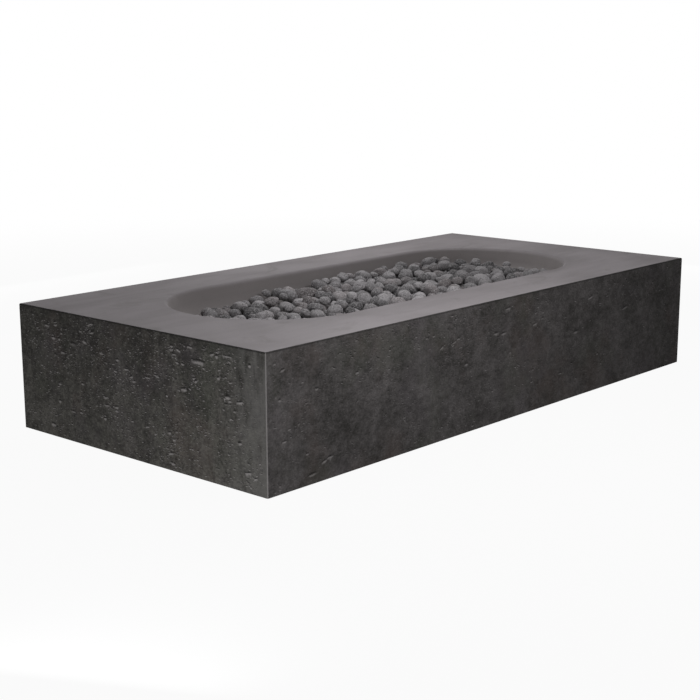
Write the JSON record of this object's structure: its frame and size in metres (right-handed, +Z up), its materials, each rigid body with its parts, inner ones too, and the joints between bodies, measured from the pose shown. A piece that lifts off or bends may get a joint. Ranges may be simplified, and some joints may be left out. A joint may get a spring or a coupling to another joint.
{
  "type": "fire pit",
  "caption": "Low rectangular concrete fire pit with an oblong coved bowl of tumbled lava stones over a gas burner, and a quarter-turn key valve in its back wall.",
  "frame": {"origin": "on the ground under the middle of the block", "axes": "+X along the block's long side, +Y towards the back wall that holds the valve, +Z up"},
  "size_m": [1.98, 1.0443, 0.36],
  "materials": {
    "concrete": "cast, smooth deck and pitted sides",
    "lava": "tumbled, finely porous",
    "stainless": "brushed",
    "gasket_fibre": "pressed ceramic fibre",
    "brass": "turned",
    "hose_rubber": "matt",
    "seal_rubber": "matt",
    "seat_plastic": "machined",
    "chrome": "polished plate"
  },
  "bodies": {
    "pit": {"air_mixer": "brass", "burner_end_caps": "stainless", "burner_hose_nut": "brass", "burner_hub": "stainless", "burner_pan": "stainless", "burner_rails": "stainless", "burner_rests": "stainless", "burner_straps": "stainless", "concrete_body": "concrete", "escutcheon": "chrome", "flare_elbow": "brass", "gas_hose": "hose_rubber", "gas_orifice": "brass", "hub_locknut": "stainless", "hub_washer": "stainless", "lava_stones": "lava", "pan_gasket": "gasket_fibre", "sleeve_locknut": "brass", "sleeve_washer": "stainless", "stem_gland": "brass", "strap_nuts": "stainless", "strap_screws": "stainless", "valve_body": "brass", "valve_hose_nut": "brass", "valve_seats": "seat_plastic", "valve_sleeve": "brass", "valve_tailpiece": "brass"},
    "stem": {"valve_stem": "brass", "valve_ball": "chrome", "stem_rings": "seal_rubber"},
    "key": {"key_shank": "chrome", "key_handle": "chrome"}
  },
  "joints": [
    {"name": "valve_turn", "type": "hinge", "parent": "pit", "child": "stem", "pos_m": [0.56, 0.428, 0.19], "axis": [0, 1, 0], "range_deg": [0, 90]},
    {"name": "key_pull", "type": "slide", "parent": "stem", "child": "key", "axis": [0, 1, 0], "range_m": [0, 0.07]}
  ]
}
